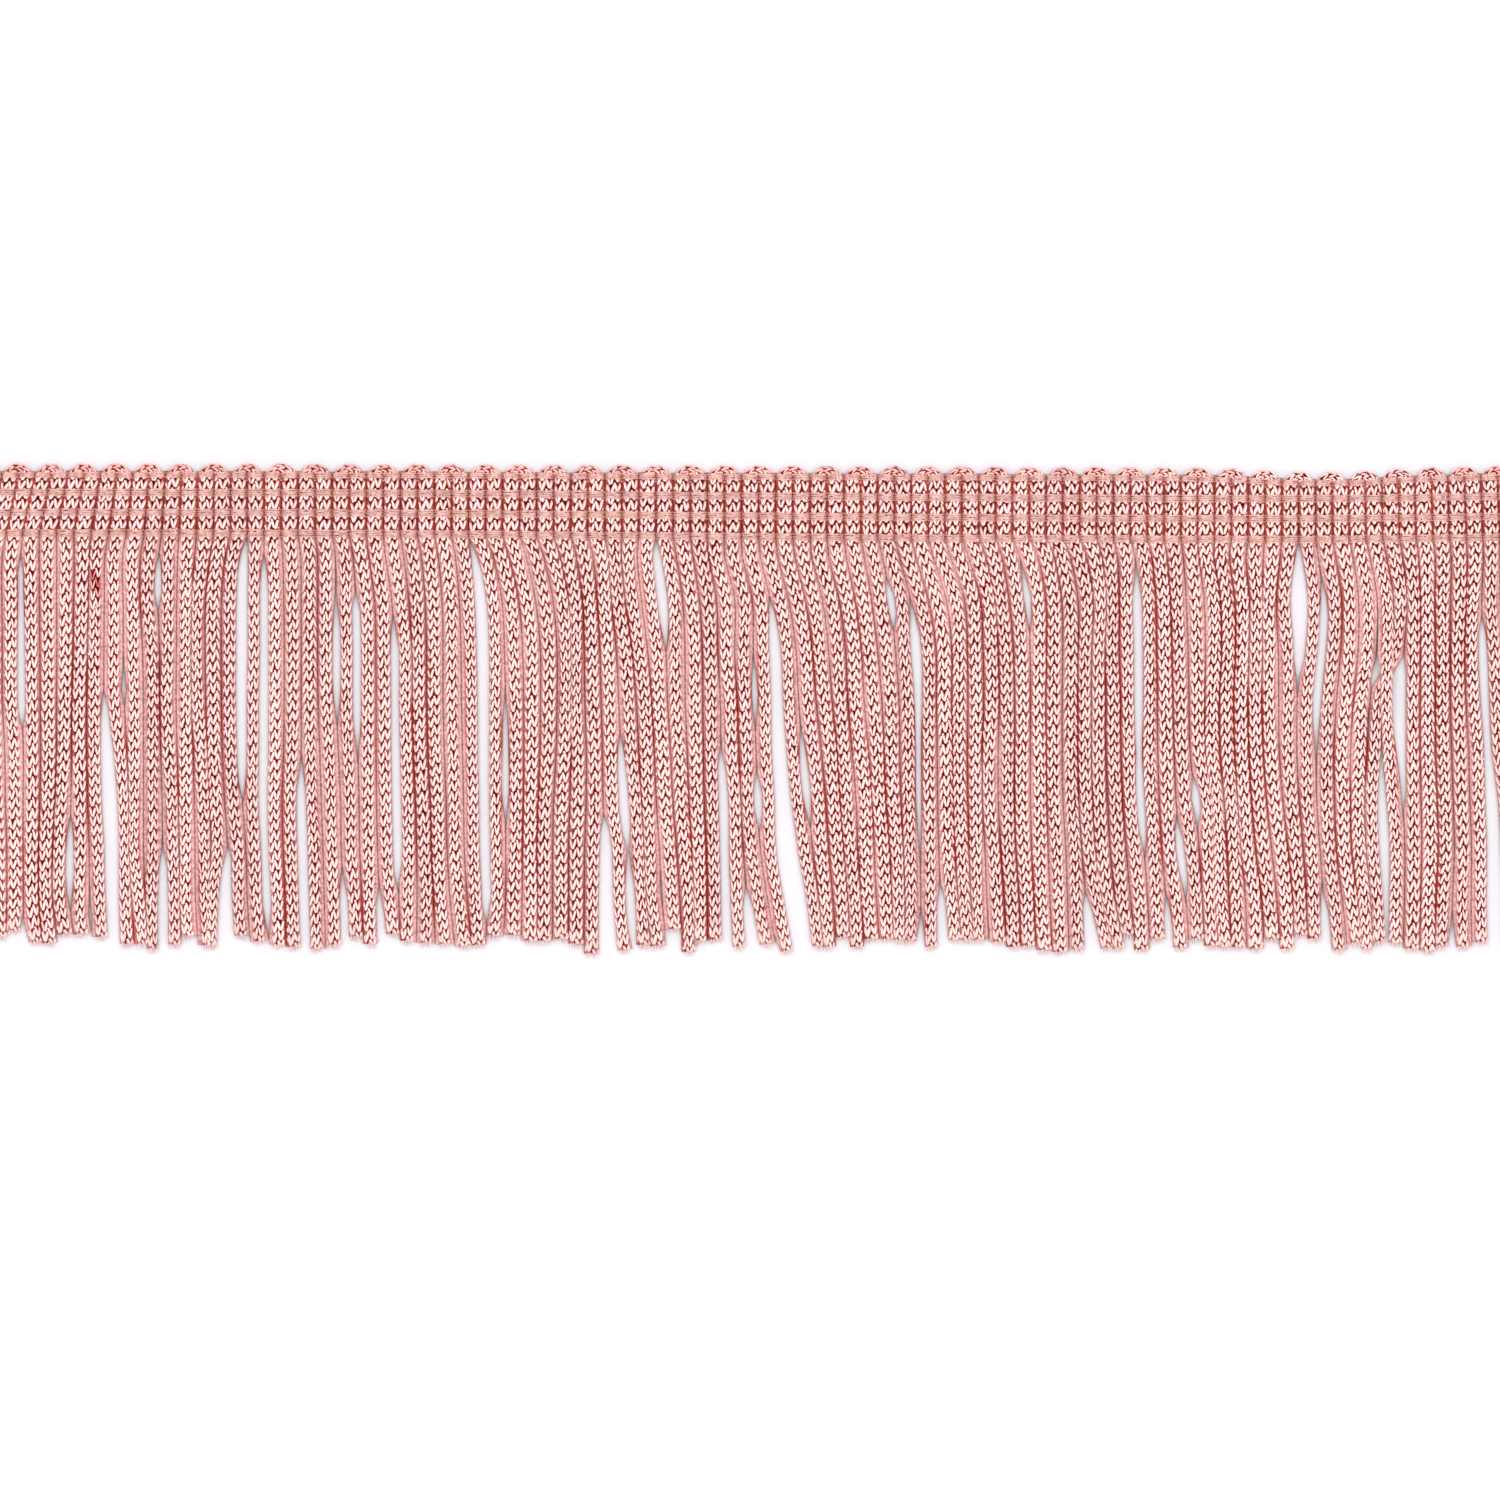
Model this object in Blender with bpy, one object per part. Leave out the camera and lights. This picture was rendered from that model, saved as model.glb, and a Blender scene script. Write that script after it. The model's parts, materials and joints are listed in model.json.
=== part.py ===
# Chainette fringe trim, a cut length lying face up on a flat surface.
# Metres, Z up from the surface, X along the length, Y from the cut ends to the heading.
import bpy
import bmesh
import numpy as np
from mathutils import Vector
from mathutils.geometry import tessellate_polygon

grid = 0.000125            # one eighth of a millimetre: all table values are in this unit
middleX, middleY = 751.0, 710.0   # grid point that lies at the origin; grid y runs downwards

leftEnd, rightEnd = -48.0, 1550.0     # cut ends of the length
headingFoot = 541.0        # lower edge of the heading
topEdge = 471.0            # upper edge of the heading, between two loops
loopHeight = 6.0           # how far each turned loop stands above that edge
loopPitch = 33.7           # one loop for every two cords
firstLoop = -16.2          # middle of the first whole loop
loopCount = 47
cordPitch = 16.0           # cords side by side at the cut ends

cordThickness = 0.00135    # the hanging cords, relaxed
headingThickness = 0.0017  # the heading, with the cords drawn up by the stitching
edgeBevel = 0.0003         # rounded cloth edges
rowWidth = 7.2             # one row of binding stitches, in grid units
rowThickness = 0.00025     # thread lying over the cords
rowClear = 0.00033         # air between a row and the groove that it has drawn in
rowEndInset = 6.0          # rows stop a little before the cut ends

# Four rows of binding stitches: grid height of each at the left of the length.
rowHeights = (472.5, 490.7, 512.7, 533.7)

# The heading sags a little along its length, from sagStart to the lowest place and up again.
sagDepth, sagStart, sagLowest, sagReturn = 6.3, 100.0, 1275.0, 560.0

# Gaps between tufts of cords. Where each opens, then its left and right edge at one third,
# two thirds and the whole of the way down to the line of the cut ends.
#   openX  openY   left1   right1  left2   right2  left3   right3
gaps = (
    (104,   560,   101.5,  107.5,  104,    116,    109,    121),
    (223,   790,   224.5,  231,    220,    231.5,  218,    234),
    (244,   550,   236.5,  246.5,  243.5,  247.5,  248,    253),
    (264,   550,   260,    268,    260,    268,    267,    272),
    (301.5, 640,   298,    304,    298,    307.5,  301,    310),
    (336,   560,   333.5,  340,    338.5,  344,    342,    349),
    (391,   590,   391.5,  399,    393,    402,    399,    403),
    (475,   552,   478,    488.5,  480.5,  489,    485,    489),
    (602,   770,   600,    610,    599,    613,    599,    617),
    (616,   640,   617.5,  624,    625,    631,    630,    637),
    (752,   600,   752,    757.5,  760,    764,    773,    781),
    (763,   560,   771,    782,    776,    794,    795,    813),
    (788,   600,   797.5,  802.5,  809.5,  814,    821.5,  825),
    (905,   570,   914,    922,    915.5,  922,    916,    923),
    (938.5, 820,   937.5,  942,    938,    946,    939,    949),
    (982,   800,   982,    987,    983,    990,    986,    992),
    (1021,  560,   1028,   1032.5, 1029,   1032.5, 1036,   1039.5),
    (1046,  820,   1047,   1051,   1049,   1053,   1052,   1055.5),
    (1061,  620,   1060.3, 1063.7, 1062,   1066,   1067,   1071),
    (1083,  850,   1083,   1087,   1084,   1094,   1085,   1101),
    (1121,  800,   1124,   1128.5, 1129,   1133,   1133.5, 1137),
    (1134,  556,   1134,   1142.5, 1138,   1145.5, 1147,   1151),
    (1162,  870,   1163,   1170,   1165,   1173,   1165,   1174),
    (1175,  800,   1176,   1184,   1182,   1190,   1187,   1191),
    (1242,  860,   1243,   1248,   1245,   1249,   1246,   1249.5),
    (1317,  560,   1312,   1321,   1315,   1320.5, 1321,   1330),
    (1380,  735,   1377.5, 1385.5, 1381,   1389,   1385.5, 1389),
    (1401,  650,   1395,   1405,   1402.5, 1406.5, 1402,   1406),
    (1452,  860,   1450,   1454,   1449,   1454.5, 1449,   1455),
    (1481,  560,   1480,   1488,   1486,   1498,   1488,   1508),
)
gapFoot = 960.0            # the line of the cut ends, just past the longest cord

# Places where two cords part and meet again: x and y of the middle, half width, half height.
holes = (
    (1277.5, 683, 3.2, 62),
    (1298.0, 617, 7.6, 46),
    (1371.5, 656, 4.0, 64),
)

# How far each cord end stops short of that line, taken in turn along the length.
endShort = (20, 14, 23, 12, 10, 22, 16, 5.5, 11, 24, 17, 13, 8, 20, 25, 12, 9, 15, 19)
notchDepth = 9.0           # height of the notch between two cord ends


def drop(x):
    # how far the heading has dropped at grid x
    if x < sagLowest:
        return sagDepth * (1.0 - np.cos(np.pi * (x - sagStart) / (sagLowest - sagStart))) / 2.0
    return sagDepth * (1.0 + np.cos(np.pi * (x - sagLowest) / sagReturn)) / 2.0


def place(x, y):
    # grid point to metres
    return ((x - middleX) * grid, (middleY - y) * grid)


def clearScene():
    for item in list(bpy.data.objects):
        bpy.data.objects.remove(item, do_unlink=True)


def collection(name):
    group = bpy.data.collections.new(name)
    bpy.context.scene.collection.children.link(group)
    return group


def cordEnds(left, right, first):
    # blunt ends of the cords between two gaps, with a small notch between each two
    count = max(1, round((right - left) / cordPitch))
    pitch = (right - left) / count
    points = []
    for step in range(count):
        end = gapFoot - endShort[(first + step) % len(endShort)]
        a = left + step * pitch
        points.append((a + (0.0 if step == 0 else 1.6), end))
        points.append((a + pitch - (0.0 if step == count - 1 else 1.6), end))
        if step < count - 1:
            after = gapFoot - endShort[(first + step + 1) % len(endShort)]
            points.append((a + pitch, min(end, after) - notchDepth))
    return points, first + count


def combOutline():
    # one closed line round the heading and all the tufts
    points = [(leftEnd, topEdge + drop(leftEnd))]
    side, used = [], 0
    start = leftEnd + 3.0
    points.append((leftEnd, headingFoot))
    for row in gaps:
        openX, openY = row[0], row[1]
        levels = [openY + (gapFoot - openY) * part / 3.0 for part in (1, 2)]
        ends, used = cordEnds(start, row[6], used)
        points += ends
        points += [(row[4], levels[1]), (row[2], levels[0]), (openX, openY),
                   (row[3], levels[0]), (row[5], levels[1])]
        start = row[7]
    ends, used = cordEnds(start, rightEnd - 3.0, used)
    points += ends
    points += [(rightEnd, headingFoot), (rightEnd, topEdge + drop(rightEnd))]
    for index in reversed(range(loopCount)):
        x = firstLoop + index * loopPitch
        for across, up in ((11.0, 0.0), (6.5, 0.8), (0.0, 1.0), (-6.5, 0.8), (-11.0, 0.0)):
            points.append((x + across, topEdge - up * loopHeight + drop(x)))
    return points


def holeOutline(x, y, halfWidth, halfHeight):
    turns = np.linspace(0.0, 2.0 * np.pi, 9)[:-1]
    return [(x + halfWidth * np.cos(t), y + halfHeight * np.sin(t)) for t in turns]


def bandOutline(upper, lower, left, right, steps=15):
    # a strip along the heading that follows its sag
    xs = np.linspace(left, right, steps)
    return ([(x, upper + drop(x)) for x in xs] +
            [(x, lower + drop(x)) for x in reversed(xs)])


def inset(points, depth):
    # the same closed line moved inwards, with long corners held back
    spots = np.array(points)
    before, after = np.roll(spots, 1, axis=0), np.roll(spots, -1, axis=0)
    area = np.sum(spots[:, 0] * after[:, 1] - after[:, 0] * spots[:, 1])
    turn = 1.0 if area > 0 else -1.0

    def inward(a, b):
        run = (b - a) / np.linalg.norm(b - a, axis=1)[:, None]
        return np.stack([-run[:, 1], run[:, 0]], axis=1) * turn

    first, second = inward(before, spots), inward(spots, after)
    both = first + second
    both /= np.linalg.norm(both, axis=1)[:, None]
    reach = np.minimum(1.0 / np.maximum(np.sum(both * first, axis=1), 0.2), 1.45)
    return [tuple(spot) for spot in spots + both * (reach * depth)[:, None]]


def slab(name, outlines, low, high, bevel, group):
    # flat outlines filled and given thickness; the first is the rim, the others are holes
    work = bmesh.new()
    layers = [(low, bevel), (low + bevel, 0.0), (high - bevel, 0.0), (high, bevel)]
    if bevel == 0.0:
        layers = [(low, 0.0), (high, 0.0)]
    rings = [[] for _ in layers]
    flat = []
    for number, outline in enumerate(outlines):
        line = [place(x, y) for x, y in outline]
        for ring, (z, back) in zip(rings, layers):
            moved = inset(line, back if number == 0 else -back) if back else line
            ring.append([work.verts.new((x, y, z)) for x, y in moved])
            if z == low:
                flat.append([Vector((x, y, 0.0)) for x, y in moved])
        count = len(line)
        for lower, upper in zip(rings, rings[1:]):
            for i in range(count):
                j = (i + 1) % count
                work.faces.new((lower[number][i], lower[number][j],
                                upper[number][j], upper[number][i]))
    for ring in (rings[0], rings[-1]):
        corners = [vert for loop in ring for vert in loop]
        for a, b, c in tessellate_polygon(flat):
            work.faces.new((corners[a], corners[b], corners[c]))
    bmesh.ops.recalc_face_normals(work, faces=work.faces)
    mesh = bpy.data.meshes.new(name)
    work.to_mesh(mesh)
    work.free()
    piece = bpy.data.objects.new(name, mesh)
    group.objects.link(piece)
    return piece


def combine(body, tool, operation):
    change = body.modifiers.new(operation.lower(), "BOOLEAN")
    change.operation = operation
    change.solver = "EXACT"
    change.object = tool
    bpy.context.view_layer.update()
    shape = bpy.context.evaluated_depsgraph_get()
    mesh = bpy.data.meshes.new_from_object(body.evaluated_get(shape))
    body.modifiers.clear()
    body.data = mesh


def material(name, colour, roughness):
    made = bpy.data.materials.new(name)
    made.use_nodes = True
    shader = made.node_tree.nodes["Principled BSDF"]
    shader.inputs["Base Color"].default_value = (*colour, 1.0)
    shader.inputs["Roughness"].default_value = roughness
    return made


def main():
    clearScene()
    trim = collection("chainette fringe trim")
    cutters = collection("cutters")

    # the comb: heading and tufts as one piece of cloth
    outlines = [combOutline()] + [holeOutline(*row) for row in holes]
    comb = slab("chainette_comb", outlines, 0.0, cordThickness, edgeBevel, trim)
    raised = slab("raised heading", [bandOutline(topEdge + 3.0, headingFoot,
                  leftEnd + 3.0, rightEnd - 3.0)], 0.0002, headingThickness, edgeBevel, cutters)
    combine(comb, raised, "UNION")

    # grooves that the rows draw into the face and the back
    groove = rowThickness + rowClear
    half = rowWidth / 2.0 + rowClear / grid
    for number, height in enumerate(rowHeights, 1):
        upper = height - half if number > 1 else topEdge - 4.0 * loopHeight
        line = bandOutline(upper, height + half, leftEnd - 20.0, rightEnd + 20.0)
        for face, low, high in (("front", headingThickness - groove, headingThickness + 0.001),
                                ("back", -0.001, groove)):
            tool = slab("groove %d %s" % (number, face), [line], low, high, 0.0, cutters)
            combine(comb, tool, "DIFFERENCE")

    # the rows of binding stitches, one strip on each face
    rows = []
    for number, height in enumerate(rowHeights, 1):
        line = bandOutline(height - rowWidth / 2.0, height + rowWidth / 2.0,
                           leftEnd + rowEndInset, rightEnd - rowEndInset)
        for face, low in (("front", headingThickness - rowThickness), ("back", 0.0)):
            rows.append(slab("binding_row_%d_%s" % (number, face), [line],
                             low, low + rowThickness, 0.0, trim))

    comb.data.materials.clear()
    comb.data.materials.append(material("chainette yarn", (0.80, 0.46, 0.42), 0.45))
    thread = material("binding thread", (0.86, 0.52, 0.38), 0.7)
    for strip in rows:
        strip.data.materials.clear()
        strip.data.materials.append(thread)
    for tool in cutters.objects:
        tool.hide_render = True
        tool.display_type = "WIRE"


main()
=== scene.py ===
import json
import random
from math import cos, exp, pi, radians, sin, sqrt

import bmesh
import bpy
import numpy as np
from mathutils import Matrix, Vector

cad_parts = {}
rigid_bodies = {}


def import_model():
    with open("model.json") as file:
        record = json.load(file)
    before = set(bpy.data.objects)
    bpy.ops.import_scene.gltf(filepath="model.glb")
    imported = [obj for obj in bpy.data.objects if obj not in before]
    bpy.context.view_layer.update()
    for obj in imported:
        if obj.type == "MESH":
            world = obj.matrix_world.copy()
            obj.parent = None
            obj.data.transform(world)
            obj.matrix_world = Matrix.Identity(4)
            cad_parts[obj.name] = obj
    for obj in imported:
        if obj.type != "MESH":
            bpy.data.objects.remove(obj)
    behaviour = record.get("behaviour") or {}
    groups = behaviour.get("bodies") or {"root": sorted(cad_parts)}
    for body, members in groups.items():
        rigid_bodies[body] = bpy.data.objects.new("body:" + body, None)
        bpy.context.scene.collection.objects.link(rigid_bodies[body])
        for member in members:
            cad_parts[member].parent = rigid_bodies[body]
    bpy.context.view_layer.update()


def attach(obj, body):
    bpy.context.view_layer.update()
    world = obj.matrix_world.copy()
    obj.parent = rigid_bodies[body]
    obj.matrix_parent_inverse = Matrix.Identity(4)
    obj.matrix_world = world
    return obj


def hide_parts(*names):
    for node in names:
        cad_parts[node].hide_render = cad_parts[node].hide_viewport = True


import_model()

print("frame loaded")

# The trim is laid out on a grid of eighths of a millimetre, x to the right
# and y downwards, with the same middle as the CAD comb.
millimetre = 0.001
gridStep = 0.125          # millimetres
grid = gridStep * millimetre
middleX, middleY = 751.0, 710.0


def place(x, y, z):
    return ((x - middleX) * grid, (middleY - y) * grid, z * millimetre)      # z is in millimetres


# From 0 at low to 1 at high, with soft ends.
def ramp(value, low, high):
    part = min(1.0, max(0.0, (value - low) / (high - low)))
    return part * part * (3 - 2 * part)


def linear(code):
    parts = [int(code[i:i + 2], 16) / 255 for i in (0, 2, 4)]
    return tuple(p / 12.92 if p <= 0.04045 else ((p + 0.055) / 1.055) ** 2.4 for p in parts) + (1.0,)


# Adds a node. Its sockets are given in order or by name, each as a value, an output, or a node that
# stands for its own first output.
def addNode(tree, kind, sockets=(), **settings):
    node = tree.nodes.new(kind)
    for name, value in settings.items():
        setattr(node, name, value)
    for name, value in sockets.items() if isinstance(sockets, dict) else enumerate(sockets):
        if isinstance(value, bpy.types.Node):
            value = value.outputs[0]
        if isinstance(value, bpy.types.NodeSocket):
            tree.links.new(value, node.inputs[name])
        else:
            node.inputs[name].default_value = value
    return node


heading = {
    "rows": (475.2, 492.6, 512.6, 533.3),     # middles of the four binding rows
    "rowReach": 4.6,                          # how far a row presses the cords in above and below it
    "seam": 533.0,                            # where the two runs of a cord meet, under the lowest row
    "foot": 541.0,                            # where the strings come out
    "footAbove": 6, "footBelow": 3,           # a cord gets its free shape over this height
    "knots": (460, 480, 500, 520),            # levels at which a cord's lean inside the heading is read
    "gapKnots": ((-3.5, -32.4), (-0.5, 17.0), (13.5, 247.4), (37.5, 656.0),
                 (47.5, 827.0), (76.5, 1315.0), (87.5, 1497.0), (90.5, 1546.6)),
    "firstCord": -3, "lastCord": 90,
    "leftLean": 6.25, "leftLeanEnd": 13.5,    # the cords lean at the left
    "rightLean": 0.2, "rightLeanStart": 75,   # and a little the other way at the right
    "leanMiddle": 485, "leanHeight": 60,
    "sagDepth": 6.3, "sagStart": 100.0, "sagLowest": 1275.0, "sagReturn": 560.0,
    "topSlack": 0.45, "dentX": 1325.0, "dentSpread": 62.0, "dentDepth": 5.0,
    "middle": 0.85,                           # height of its mid-plane over the table, millimetres
    "course": 9.0, "sampleStep": 2.5,         # one round of stitches, and how close its paths are read
    "startAbove": 1.0, "stagger": 0.75,       # where the uppermost round starts, so neighbours don't line up
}


# How far the heading has dropped at x. The uppermost row lies straighter, with a dent near the right.
def drop(x, level):
    h = heading
    if x < h["sagLowest"]:
        sagged = max(-0.1, (x - h["sagStart"]) / (h["sagLowest"] - h["sagStart"]))
        base = h["sagDepth"] * (1 - cos(pi * sagged)) / 2
    else:
        base = h["sagDepth"] * (1 + cos(pi * (x - h["sagLowest"]) / h["sagReturn"])) / 2
    upper = 1 - ramp(level, h["rows"][0], h["rows"][1])
    dent = h["dentDepth"] * exp(-((x - h["dentX"]) / h["dentSpread"]) ** 2 / 2)
    return base * (1 - h["topSlack"] * upper) + dent * upper


def headingX(cord, y):
    h = heading
    x = float(np.interp(cord, [k[0] for k in h["gapKnots"]], [k[1] for k in h["gapKnots"]]))
    lean = h["leftLean"] * (1 + cos(pi * min(h["leftLeanEnd"], max(0.0, cord)) / h["leftLeanEnd"]))
    lean -= h["rightLean"] * max(0.0, cord - h["rightLeanStart"])
    return x - lean * (y - h["leanMiddle"]) / h["leanHeight"]


# Where each string lies: x at these levels, then x and y of its cut end.
stringLevels = (556, 600, 650, 700, 750, 800, 850, 900)
strings = {
    -3: (-40, -38.5, -38, -38, -37, -35, -33, -33, -32, 935),
    -2: (-23, -22.5, -22, -22, -21, -19, -17, -17, -16, 944),
    -1: (-6, -6, -5.5, -5.5, -4, -3, -1, -1, 0, 938),
    0: (11, 11, 11, 11, 14.5, 14.5, 15.5, 15.5, 13.5, 932),
    1: (31, 31.5, 32, 32.5, 33, 32.5, 31.5, 32, 36, 943),
    2: (48, 48, 48.5, 48.5, 49, 48, 46, 46, 50, 944),
    3: (66.5, 66, 66, 65, 64.5, 62, 60, 60, 66, 935),
    4: (83, 82, 81, 79.5, 79.5, 80.5, 81, 80, 82, 935),
    5: (96.5, 95.5, 94.5, 94.5, 94.5, 95.5, 98, 100, 102, 938),
    6: (113.5, 114, 114, 114.5, 120, 123.5, 124.5, 125.5, 127, 945),
    7: (132, 133, 133.5, 134.5, 134.5, 134.5, 134.5, 139, 143, 945),
    8: (149, 148, 152, 153, 153, 153, 153, 152, 153, 950),
    9: (169, 168.5, 168, 167, 169, 172, 173, 174.5, 175, 946),
    10: (187, 186, 186, 186, 186, 186, 186, 186, 188, 937),
    11: (203, 198, 197, 198, 201, 203, 204.5, 205.5, 208, 946),
    12: (218, 213.5, 213.5, 214, 214.5, 216.5, 218, 213, 211, 947),
    13: (233, 230, 229.5, 229.5, 230.5, 233, 238, 238.5, 241, 937),
    14: (254.5, 254, 254, 253, 253, 252.5, 254.5, 256.5, 260, 942),
    15: (274, 275.5, 275.5, 275.5, 275.5, 274.5, 275.5, 278, 279, 946),
    16: (292, 292.5, 293, 293, 292, 290, 291, 292.5, 294, 948),
    17: (310, 310, 310, 310, 311, 312, 314.5, 315.5, 317, 950),
    18: (326, 326, 326, 326.5, 329, 331, 332, 333.5, 335, 946),
    19: (345.5, 346, 347, 347, 348, 350.5, 351, 354.5, 356, 938),
    20: (361, 366.5, 368, 368, 368, 368, 369, 369.5, 371, 945),
    21: (376.5, 383, 384, 384.5, 384.5, 385.5, 386.5, 390, 393, 935),
    22: (394.5, 401, 405.5, 405.5, 406.5, 408, 409, 408, 407, 942),
    23: (413, 417, 419, 419.5, 420.5, 423, 424.5, 426.5, 426, 944),
    24: (430, 433.5, 434.5, 434.5, 435.5, 438, 439, 441, 445, 945),
    25: (446.5, 451, 452, 452, 453.5, 454.5, 455.5, 459.5, 465, 947),
    26: (464.5, 468, 470.5, 471.5, 472, 473, 473.5, 475.5, 479, 946),
    27: (485.5, 493, 495.5, 495.5, 495.5, 495.5, 496.5, 498, 494, 937),
    28: (501, 511, 513.5, 515.5, 516, 516, 515, 513.5, 513, 936),
    29: (516.5, 526.5, 532, 532, 532, 531, 530, 531, 530, 942),
    30: (535.5, 544.5, 549, 549, 548, 545.5, 544.5, 544.5, 544, 942),
    31: (552, 562, 565.5, 565.5, 564.5, 562, 561, 561, 561, 940),
    32: (568, 575.5, 576.5, 576.5, 578, 578, 576.5, 576.5, 576, 945),
    33: (584.5, 590, 592, 593, 594.5, 594.5, 593, 592, 592, 955),
    34: (602, 604.5, 608, 609.5, 610.5, 612, 618, 619.5, 624, 951),
    35: (614.5, 618, 624.5, 628, 631, 635, 638, 641, 644, 946),
    36: (628, 632, 639, 644.5, 646.5, 648, 650, 652, 658, 947),
    37: (646.5, 651, 656.5, 659, 662, 664.5, 669, 672, 674, 930),
    38: (668, 674.5, 675.5, 676, 679, 681, 684.5, 688, 689, 953),
    39: (684.5, 691, 694.5, 694.5, 695.5, 696.5, 699, 700, 700, 942),
    40: (701, 708, 710, 711, 711, 712, 713.5, 714.5, 715, 941),
    41: (715.5, 725.5, 725.5, 730, 731, 734.5, 735.5, 736.5, 739, 948),
    42: (733, 744.5, 743.5, 744.5, 746.5, 747.5, 751, 758, 766, 945),
    43: (751, 760.5, 763, 765, 765.5, 768.5, 770, 777.5, 787, 952),
    44: (769, 780, 787, 789, 792.5, 797, 804.5, 812.5, 818, 947),
    45: (786, 797, 805, 808, 813, 818, 821, 825, 829, 948),
    46: (803, 813.5, 819.5, 824, 829.5, 833, 836.5, 841, 843, 938),
    47: (819.5, 831.5, 837.5, 840, 844, 847, 850.5, 854.5, 857, 948),
    48: (837, 847, 853.5, 855, 860, 865, 865.5, 868, 871, 940),
    49: (855, 863, 869, 873, 876.5, 878.5, 882.5, 885, 887, 940),
    50: (873, 880, 886, 890.5, 891.5, 893, 896.5, 898.5, 899, 941),
    51: (891, 901, 904.5, 907.5, 908, 908.5, 910, 911, 910, 942),
    52: (907, 920, 928, 928.5, 928.5, 929, 930, 930.5, 931, 948),
    53: (924, 936.5, 944, 944, 945.5, 946, 947.5, 951.5, 955, 941),
    54: (941, 956, 959.5, 959.5, 959.5, 960, 962, 964.5, 968, 941),
    55: (959, 973, 975, 976, 975, 975.5, 976, 977, 979, 941),
    56: (977, 988, 990.5, 991.5, 989, 989, 993.5, 996.5, 999, 943),
    57: (993.5, 1001, 1005.5, 1006.5, 1007, 1007, 1008, 1011.5, 1013, 948),
    58: (1010, 1017, 1021, 1022.5, 1022, 1021.5, 1023.5, 1026.5, 1028, 947),
    59: (1029, 1038, 1039, 1038, 1038.5, 1039, 1039.5, 1041, 1044, 951),
    60: (1046, 1053.5, 1054, 1053.5, 1053.5, 1054, 1056.5, 1058.5, 1060, 953),
    61: (1062, 1069.5, 1071, 1070.5, 1070.5, 1071.5, 1075, 1076, 1078, 950),
    62: (1078, 1086.5, 1085, 1084.5, 1084.5, 1085.5, 1088.5, 1096, 1107, 949),
    63: (1094, 1100, 1098, 1098, 1098, 1099.5, 1102, 1108, 1119, 949),
    64: (1109, 1112, 1111.5, 1113, 1113, 1115, 1118, 1122, 1128, 936),
    65: (1126, 1126, 1127, 1127.5, 1128.5, 1129.5, 1134, 1139, 1141, 951),
    66: (1144, 1148, 1149, 1149.5, 1149, 1151, 1154, 1156, 1158, 940),
    67: (1159, 1163, 1164, 1165, 1166, 1167, 1169, 1176, 1180, 949),
    68: (1175, 1177, 1179, 1180.5, 1181.5, 1184.5, 1191, 1195.5, 1197, 940),
    69: (1191, 1195, 1196.5, 1197, 1198, 1206, 1207, 1209, 1211, 947),
    70: (1206, 1213, 1214, 1212, 1212, 1217, 1219.5, 1221, 1225, 948),
    71: (1221, 1227, 1228, 1226, 1227, 1230.5, 1234, 1236.5, 1238, 948),
    72: (1237, 1242, 1242, 1240.5, 1241.5, 1244, 1247.5, 1254, 1255, 950),
    73: (1254, 1256, 1255.5, 1254.5, 1255.5, 1258.5, 1263, 1268.5, 1272, 940),
    74: (1272, 1268.5, 1269, 1268.5, 1270.5, 1274, 1280, 1285, 1287, 950),
    75: (1288, 1283.5, 1287, 1288, 1287, 1291, 1295, 1299, 1300, 936),
    76: (1308, 1313.5, 1311, 1306, 1306, 1306.5, 1311, 1313, 1314, 940),
    77: (1327, 1334, 1332.5, 1327, 1326, 1326, 1328.5, 1333.5, 1338, 951),
    78: (1344, 1349, 1348.5, 1345.5, 1341, 1342.5, 1343.5, 1350.5, 1356, 944),
    79: (1361, 1367.5, 1367, 1361, 1359.5, 1357.5, 1359, 1364, 1367, 950),
    80: (1378, 1386.5, 1386.5, 1385.5, 1388.5, 1392, 1396, 1395.5, 1395, 944),
    81: (1394, 1400, 1394, 1378, 1374, 1371, 1372.5, 1376.5, 1379, 943),
    82: (1410, 1413, 1412.5, 1412, 1412, 1412.5, 1413, 1412.5, 1411, 950),
    83: (1426.5, 1427, 1427.5, 1427.5, 1427.5, 1429, 1430, 1428, 1428, 952),
    84: (1443, 1442, 1442.5, 1442, 1443, 1444.5, 1445.5, 1442.5, 1441, 947),
    85: (1459, 1458.5, 1457, 1457.5, 1459.5, 1461, 1462.5, 1461.5, 1462, 948),
    86: (1475, 1472.5, 1471.5, 1473.5, 1477, 1478, 1480, 1480, 1481, 943),
    87: (1491, 1490, 1493.5, 1495.5, 1498, 1504, 1507, 1509, 1510, 946),
    88: (1508, 1509, 1510, 1512, 1515, 1519, 1523, 1525, 1525, 944),
    89: (1525, 1525, 1526, 1528, 1531, 1534, 1538, 1539, 1540, 950),
    90: (1541, 1542, 1542, 1544, 1547, 1550, 1552, 1553, 1554, 944),
}

cordNumbers = range(heading["firstCord"], heading["lastCord"] + 1)


# Smooth run through uneven knots, slopes from the neighbours on both sides.
def smoothRun(knots, at):
    xs = [k[0] for k in knots]
    ys = [k[1] for k in knots]
    last = len(knots) - 1
    n = min(last - 1, max(0, int(np.searchsorted(xs, at)) - 1))

    def slope(k):
        a, b = max(0, k - 1), min(last, k + 1)
        return (ys[b] - ys[a]) / (xs[b] - xs[a])

    step = xs[n + 1] - xs[n]
    t = min(1.0, max(0.0, (at - xs[n]) / step))
    return ((1 + 2 * t) * (1 - t) ** 2 * ys[n] + t * (1 - t) ** 2 * step * slope(n)
            + t * t * (3 - 2 * t) * ys[n + 1] - t * t * (1 - t) * step * slope(n + 1))


def stringKnots(cord):
    levels = heading["knots"] + (heading["foot"] - heading["footAbove"],)
    *across, endX, endY = strings[cord]
    return [(y, headingX(cord, y)) for y in levels] + list(zip(stringLevels, across)) + [(endY, endX)]


knotsOf = {cord: stringKnots(cord) for cord in cordNumbers}


def cordX(cord, y):
    return smoothRun(knotsOf[cord], y)


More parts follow.
